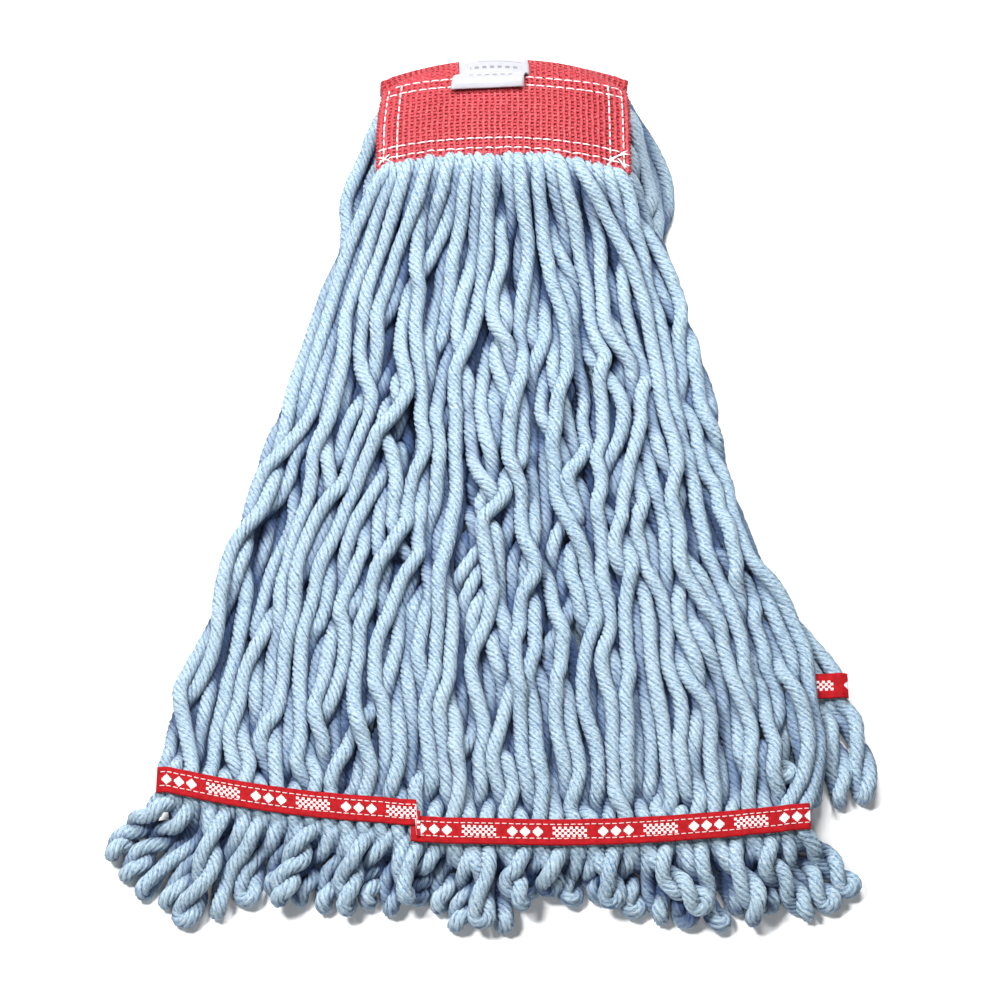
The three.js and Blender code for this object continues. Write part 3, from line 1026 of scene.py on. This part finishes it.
def band_cloth(name, depth, step, material):
    """A plain cloth that follows the band."""
    u = np.linspace(-BAND_HALF + 0.6, BAND_HALF - 0.6, int(2 * BAND_HALF / step))
    v = np.linspace(0.4, BAND_LENGTH - 0.4, int(BAND_LENGTH / step))
    points = band_point(u[None], v[:, None], depth(u)[None] + 0 * v[:, None])
    return new_mesh(name, points.reshape(-1, 3), grid_faces(len(v), len(u)), material)


def band_yarns(material):
    """The yarns that go through the headband from one curtain to the other."""
    rng = np.random.default_rng(SEED + 1)
    v = np.linspace(6, BAND_LENGTH - 6, 50)
    made = []
    for core_depth in CORE_DEPTHS:
        for k in range(CORE_COLUMNS):
            u = (k + 0.5 - CORE_COLUMNS / 2) * 2 * (BAND_HALF - 9) / CORE_COLUMNS
            depth = min(core_depth, lining_depth(abs(u) + 3) - 2.6)
            path = smooth_path(band_point(u, v, depth), 3.0)
            made.append(yarn_mesh(f"band_yarns_{len(made)}", path, rng, material, CORE_DIAMETER))
    joined = join(*made)
    joined.name = "band_yarns"
    return joined


def stitch_row(name, corners, material, lift=0.55, stitch=STITCH):
    """White stitches along a line of (u, v) corners on the band, each bowed out of the face."""
    seed = len(name) + int(1000 * abs(corners[0][0]) + abs(corners[-1][1]))
    rng = np.random.default_rng(seed)
    corners = np.array(corners, float)
    at = np.concatenate([[0], np.cumsum(np.linalg.norm(np.diff(corners, axis=0), axis=1))])
    count = max(int(at[-1] / (stitch + STITCH_GAP)), 1)
    pitch = at[-1] / count
    share = np.linspace(0, 1, 7)
    start = np.arange(count)[:, None] * pitch + STITCH_GAP / 2 + rng.uniform(-0.25, 0.25, (count, 1))
    run = start + share[None] * (pitch - STITCH_GAP)
    u, v = np.interp(run, at, corners[:, 0]), np.interp(run, at, corners[:, 1])
    tilt = rng.uniform(-0.25, 0.25, (count, 1)) * (share[None] - 0.5)
    height = lift * np.sin(np.pi * share)[None] ** 0.6 - 0.25
    centres = band_point(u + tilt, v + tilt, -height)
    size = (STITCH_THICKNESS, 0.8 * STITCH_THICKNESS)
    return tubes(name, centres, band_normal(u, v), *size, material)


def make_seams(material):
    """The rows of stitches and the two back-tacks, each in the place of its CAD seam."""
    edge = BAND_HALF - 1
    top_inner, top_outer = TOP_ROWS
    rows = {
        "seam_hem_outer": [(-edge, HEM_INSETS[0]), (edge, HEM_INSETS[0])],
        "seam_hem_inner": [(-edge, HEM_INSETS[1]), (edge, HEM_INSETS[1])],
        "seam_top_inner": [(-edge + 4, top_inner), (edge - 2, top_inner)],
        "seam_top_outer": [(-edge + 6, top_outer), (edge - 4, top_outer)],
    }
    for side, sign in (("left", -1), ("right", 1)):
        for row, inset in zip(("outer", "inner"), SIDE_INSETS):
            u = sign * (BAND_HALF - inset)
            rows[f"seam_{side}_{row}"] = [(u, 2.0), (u * 0.995, SIDE_ROW_END)]
    tacks = {
        "seam_right_outer": (
            [(edge - 12, 1.5), (edge - 1, 14)],
            [(edge - 12, 4), (edge, 12)],
            [(edge - 2, 1), (edge - 7, 7)],
            [(edge - 1, 2), (edge - 5, 4)],
        ),
        "seam_left_outer": ([(-edge, 1.5), (-edge + 7, 7)], [(-edge, 7), (-edge + 7, 2)]),
    }
    for name, corners in rows.items():
        seam = stitch_row(name + "_stitches", corners, material)
        for i, tack in enumerate(tacks.get(name, ())):
            join(seam, stitch_row(f"{name}_tack_{i}", tack, material, lift=0.9, stitch=9))
        blend_over_fold(seam)
        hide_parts(name)


def blend_over_fold(piece):
    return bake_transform(piece)


def make_band(yarn_finish, thread):
    red, backing = net_material(), backing_material()
    net = band_net("band_net", face_depth, 1.25, red)
    cloth = band_cloth("band_backing", backing_depth, 2.0, backing)
    lining = band_net("band_lining", lining_depth, 2.5, red)
    inner = band_cloth("band_lining_backing", lining_backing_depth, 3.0, backing)
    core = band_yarns(yarn_finish)
    for piece in (net, cloth, lining, inner, core):
        blend_over_fold(piece)
    for piece, layer in ((net, "panel"), (lining, "lining"), (core, "core")):
        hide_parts(*[f"headband_{part}_{layer}" for part in ("front", "fold", "back")])
    make_seams(thread)
    make_label()


# ---- The care label --------------------------------------------------------


def leaf(name, surface, width, length, material):
    """A thin closed leaf over surface(across 0 to 1, along 0 to 1, depth)."""
    columns, rows = int(width / 1.5), int(length / 0.7)
    across, along = np.meshgrid(np.linspace(0, 1, columns), np.linspace(0, 1, rows))
    top = surface(across, along, 0.0).reshape(-1, 3)
    under = surface(across, along, LABEL_THICKNESS).reshape(-1, 3)
    made = new_mesh(name, np.concatenate([top, under]), solid_faces(rows, columns), material)
    share = np.stack([across, along], -1).reshape(-1, 2)
    share = np.concatenate([share, share])
    index = np.empty(len(made.data.loops), np.int32)
    made.data.loops.foreach_get("vertex_index", index)
    uv = made.data.uv_layers.new(name="leaf")
    uv.data.foreach_set("uv", share[index].reshape(-1).astype(np.float32))
    return made


def make_label():
    material = label_material()
    width = LABEL_RIGHT - LABEL_LEFT
    sewn_length = LABEL_FAR - LABEL_CREASE

    def base(across, along, depth):
        v = LABEL_CREASE - 1 + (sewn_length + 1) * along
        u = LABEL_LEFT + width * across - 0.9 * along
        ripple = 0.5 * np.sin(3 * across + 1) * np.sin(np.pi * along)
        lift = 1.1 + ripple + 0.5 * along**2
        return band_point(u, v, -lift + depth)

    def flap(across, along, depth):
        v = LABEL_CREASE - LABEL_FLAP * along * (1 - 0.10 * across)
        u = LABEL_LEFT - 4.6 * along**0.3 + width * across + 1.5 * along * across
        arch = 4.2 * np.sin(np.pi * np.clip(along * 0.86, 0, 1))
        curl = 1.5 + arch * (0.9 + 0.15 * np.cos(5 * across))
        return band_point(u, v, -curl + depth)

    sewn = leaf("care_label_sewn", base, width, sewn_length, material)
    loose = leaf("care_label_leaf", flap, width, LABEL_FLAP, material)
    blend_over_fold(sewn)
    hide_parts("care_label_base")
    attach(loose, "care_label")
    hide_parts("care_label_flap")


# ---- The tapes -------------------------------------------------------------


def tape_motif(column, row):
    """Whether a cell of the tape's weave is white: a row of lozenges, then a checked strip."""
    column = column % TAPE_MOTIFS
    height = np.abs(row - 9.5)
    lozenge = np.abs((column - 3) % 9 - 4) + height
    lozenges = (column >= 3) & (column < 30) & (lozenge < 4.1)
    checked = (column // 2 + (row - 6) // 2) % 2 == 0
    return lozenges | ((column >= 36) & (column < 60) & (height < 4.1) & checked)


def tape_shifts(kink):
    """How far the left and the right stretch of a tape lie beyond its line, by x."""

    def left(x):
        return np.where(x < kink, 6.0 * swell(x, kink, 62), 0)

    def right(x):
        return np.where(x >= kink - 6, -2.2 * swell(x, kink, 26), 0)

    return left, right


def across_tape(plan, x):
    tape = plan["tape"]
    return (x - tape["left"]) / (tape["right"] - tape["left"])


def tape_profile(plan, points, side, shift):
    """x, and the height at which a tape clears the yarns' upper side (1) or lower side (-1)."""
    tape = plan["tape"]
    x = np.arange(tape["left"] - 2, tape["right"] + 4, WEAVE)
    across = np.clip(across_tape(plan, points[:, 0]), 0, 1)
    inward = tape_y(plan, across) + shift(points[:, 0]) - points[:, 1]
    cell = np.round((points[:, 0] - x[0]) / WEAVE).astype(int)
    covered = (inward > -1) & (inward < TAPE_WIDTH + 1) & (cell >= 0) & (cell < len(x))
    outer = np.full(len(x), -np.inf)
    np.maximum.at(outer, cell[covered], side * points[covered, 2])
    filled = np.isfinite(outer)
    outer = np.interp(x, x[filled], outer[filled])
    spread = np.pad(outer, TAPE_STIFFNESS, mode="edge")
    outer = np.max([spread[i : i + len(x)] for i in range(2 * TAPE_STIFFNESS + 1)], axis=0)
    offsets = np.arange(-2 * TAPE_STIFFNESS, 2 * TAPE_STIFFNESS + 1)
    soft = np.exp(-0.5 * (offsets / TAPE_STIFFNESS) ** 2)
    padded = np.pad(outer, 2 * TAPE_STIFFNESS, mode="edge")
    outer = np.convolve(padded, soft / soft.sum(), "valid")
    height = side * (outer + TAPE_THICKNESS)
    return x, np.maximum(height, TAPE_THICKNESS + FLOOR_GAP)


def ribbon(name, plan, points, side, ends, shift, material):
    """One stretch of tape above (side 1) or below (side -1) the yarns."""
    x = np.arange(*ends, WEAVE)
    row = np.arange(int(TAPE_WIDTH / WEAVE) + 1)
    z = np.interp(x, *tape_profile(plan, points, side, shift))
    far_edge = tape_y(plan, across_tape(plan, x)) + shift(x)
    y = far_edge[None] - row[:, None] * WEAVE
    edge = np.abs(row[:, None] / row[-1] - 0.5) * 2
    bend = 0.3 * edge**4
    top = np.stack([x[None] + 0 * y, y, z[None] - side * bend + 0 * y], -1)
    under = top.copy()
    under[..., 2] -= side * TAPE_THICKNESS * 0.6
    faces = solid_faces(len(row), len(x))
    if side > 0:
        faces = [face[::-1] for face in faces]
    made = new_mesh(name, np.concatenate([top, under]).reshape(-1, 3), faces, material)
    white = tape_motif(*np.meshgrid(np.arange(len(x) - 1), np.arange(len(row) - 1))).reshape(-1)
    marks = np.zeros(len(faces), np.float32)
    marks[: len(white)] = white
    made.data.attributes.new("motif", "FLOAT", "FACE").data.foreach_set("value", marks)
    return made


def end_rise(x, kink):
    """How high the left stretch's end is lifted over the right one."""
    return RAISED_END * np.clip(1 - (kink + 2 - x) / RAISED_LENGTH, 0, None) ** 0.6


def tape_dashes(name, plan, points, side, inset, kink, material):
    """A dashed row of thread along the tape."""
    tape = plan["tape"]
    start = np.arange(tape["left"] + 1, tape["right"] - 1, DASH_PITCH)
    x = start[:, None] + np.linspace(0, DASH, 4)[None]
    left = x < kink
    shifts = tape_shifts(kink)
    left_z, right_z = (np.interp(x, *tape_profile(plan, points, side, s)) for s in shifts)
    z = np.where(left, left_z, right_z)
    shift = np.where(left, shifts[0](x), shifts[1](x))
    y = tape_y(plan, across_tape(plan, x)) + shift - inset
    rise = np.where(left & (side > 0), end_rise(x, kink), 0)
    centres = np.stack([x, y, z + side * 0.1 + rise], -1)
    up = np.zeros_like(centres)
    up[..., 2] = side
    return tubes(name, centres, up, 0.5, 0.5, material)


def make_tapes(plan, yarns, material, thread):
    """Both sides of a curtain's tape, with their dashed rows of thread."""
    name, tape, kink = plan["name"], plan["tape"], plan["kink"]
    points = np.concatenate([mesh_points(yarn) for yarn in yarns])
    left_shift, right_shift = tape_shifts(kink)
    out = 1 if name == "front" else -1

    def stretch(part, side, ends, shift):
        return ribbon(f"{name}_tape_{part}", plan, points, side, ends, shift, material)

    left = stretch("face", out, (tape["left"] - 1, kink + 2), left_shift)
    right = stretch("rest", out, (kink - 3, tape["right"] + 2), right_shift)
    if out > 0:
        for vertex in left.data.vertices:
            vertex.co.z += float(end_rise(vertex.co.x / MM, kink)) * MM
    outer = join(left, right)
    inner = stretch("under", -out, (tape["left"], tape["right"] + 2), right_shift)
    for piece, node_name in ((outer, "outer"), (inner, "inner")):
        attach(piece, name + "_curtain")
        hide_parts(f"{name}_tape_{node_name}")
    for row, inset in DASH_INSETS.items():
        row_name = f"{name}_tape_dashes_{row}"
        dashes = tape_dashes(row_name, plan, points, out, inset, kink, thread)
        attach(dashes, name + "_curtain")
        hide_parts(f"{name}_tape_seam_{row}")


# ---- Studio ----------------------------------------------------------------


def make_floor():
    corners = [(-3000, -3000, 0), (3000, -3000, 0), (3000, 3000, 0), (-3000, 3000, 0)]
    paint = Paint("floor", (246, 246, 246), 0.7)
    grain = paint.add("ShaderNodeTexNoise", {"Scale": 40.0, "Detail": 2.0}).outputs["Fac"]
    paint.give(paint.surface, "Base Color", paint.mix(grain, *FLOOR_COLORS))
    new_mesh("floor", corners, [(0, 1, 2, 3)], paint.material)


def make_studio():
    make_floor()
    world = bpy.data.worlds.new("studio")
    bpy.context.scene.world = world
    world.use_nodes = True
    background = world.node_tree.nodes["Background"]
    background.inputs["Color"].default_value = (1, 1, 1, 1)
    seen = world.node_tree.nodes.new("ShaderNodeLightPath").outputs["Is Camera Ray"]
    strength = world.node_tree.nodes.new("ShaderNodeMapRange")
    world.node_tree.links.new(seen, strength.inputs["Value"])
    strength.inputs["To Min"].default_value = 0.03
    strength.inputs["To Max"].default_value = 1.0
    world.node_tree.links.new(strength.outputs["Result"], background.inputs["Strength"])
    for name, place, size, power in LAMPS:
        data = bpy.data.lights.new(name, "AREA")
        data.size = size
        data.energy = power
        lamp = bpy.data.objects.new(name, data)
        bpy.context.collection.objects.link(lamp)
        lamp.location = place
        lamp.rotation_euler = (Vector(place) * -1).to_track_quat("-Z", "Y").to_euler()
    bpy.context.scene.view_settings.view_transform = "Standard"


make_camera()
yarn_finish = yarn_material()
front_yarns, back_yarns = make_yarns(yarn_finish)
thread_finish, tape_finish = thread_material(), tape_material()
make_band(yarn_finish, thread_finish)
make_tapes(FRONT, front_yarns, tape_finish, thread_finish)
make_tapes(BACK, back_yarns, tape_finish, thread_finish)
make_studio()
